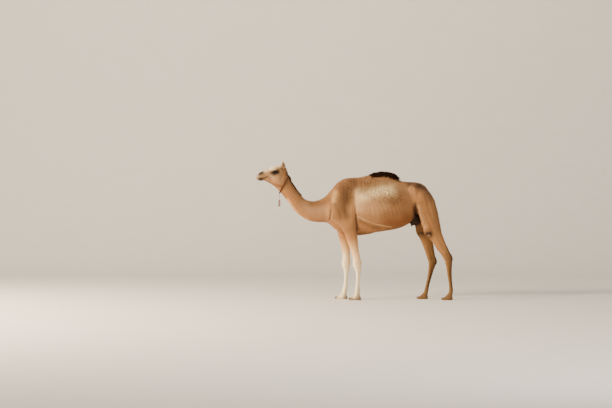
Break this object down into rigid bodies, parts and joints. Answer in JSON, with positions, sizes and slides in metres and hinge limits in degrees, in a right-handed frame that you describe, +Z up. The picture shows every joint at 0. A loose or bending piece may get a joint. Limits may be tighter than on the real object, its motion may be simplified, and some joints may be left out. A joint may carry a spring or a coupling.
{
  "type": "dromedary camel figure",
  "caption": "Standing female dromedary with one hump, long low-slung neck, raised head, slender legs on broad two-toed feet, and a thin rope collar with a hanging tassel.",
  "frame": {"origin": "on the floor under the middle of the animal's bounding box", "axes": "-X forwards, from tail to muzzle; +Y the animal's right side; +Z up"},
  "size_m": [3.0498, 0.555, 2.1361],
  "materials": {
    "coat": "short sandy-brown hair, darker and curled at the withers and the hump",
    "pale_coat": "short cream hair",
    "face_coat": "very short fawn hair over thin skin",
    "dark_hair": "longer dark brown hair in overlapping locks",
    "horn": "worn dark horn of the toenails",
    "eye": "wet dark brown eyeball",
    "udder_skin": "bare dark grey skin",
    "rope": "twisted dark red-brown cord",
    "pendant_fitting": "dark dull bead and base",
    "green_tassel": "green yarn",
    "red_tassel": "red yarn"
  },
  "bodies": {
    "root": {"front_forearm_left": "coat", "front_cannon_left": "pale_coat", "front_foot_left": "pale_coat", "front_nail_left_1": "horn", "front_nail_left_2": "horn", "front_forearm_right": "coat", "front_cannon_right": "pale_coat", "front_foot_right": "pale_coat", "front_nail_right_1": "horn", "front_nail_right_2": "horn", "hind_thigh_left": "coat", "hind_gaskin_left": "coat", "hind_cannon_left": "coat", "hind_foot_left": "pale_coat", "hind_nail_left_1": "horn", "hind_nail_left_2": "horn", "hind_thigh_right": "coat", "hind_gaskin_right": "coat", "hind_cannon_right": "coat", "hind_foot_right": "pale_coat", "hind_nail_right_1": "horn", "hind_nail_right_2": "horn", "udder": "udder_skin", "torso": "coat", "hump": "dark_hair", "tail": "coat", "neck_upper": "coat", "neck_lower": "coat", "eye_left": "eye", "ear_left": "face_coat", "eye_right": "eye", "ear_right": "face_coat", "head": "face_coat", "collar": "rope", "pendant_cord": "rope", "pendant_cap": "pendant_fitting", "pendant_tassel_green": "green_tassel", "pendant_tassel_red": "red_tassel", "pendant_weight": "pendant_fitting"}
  },
  "joints": []
}
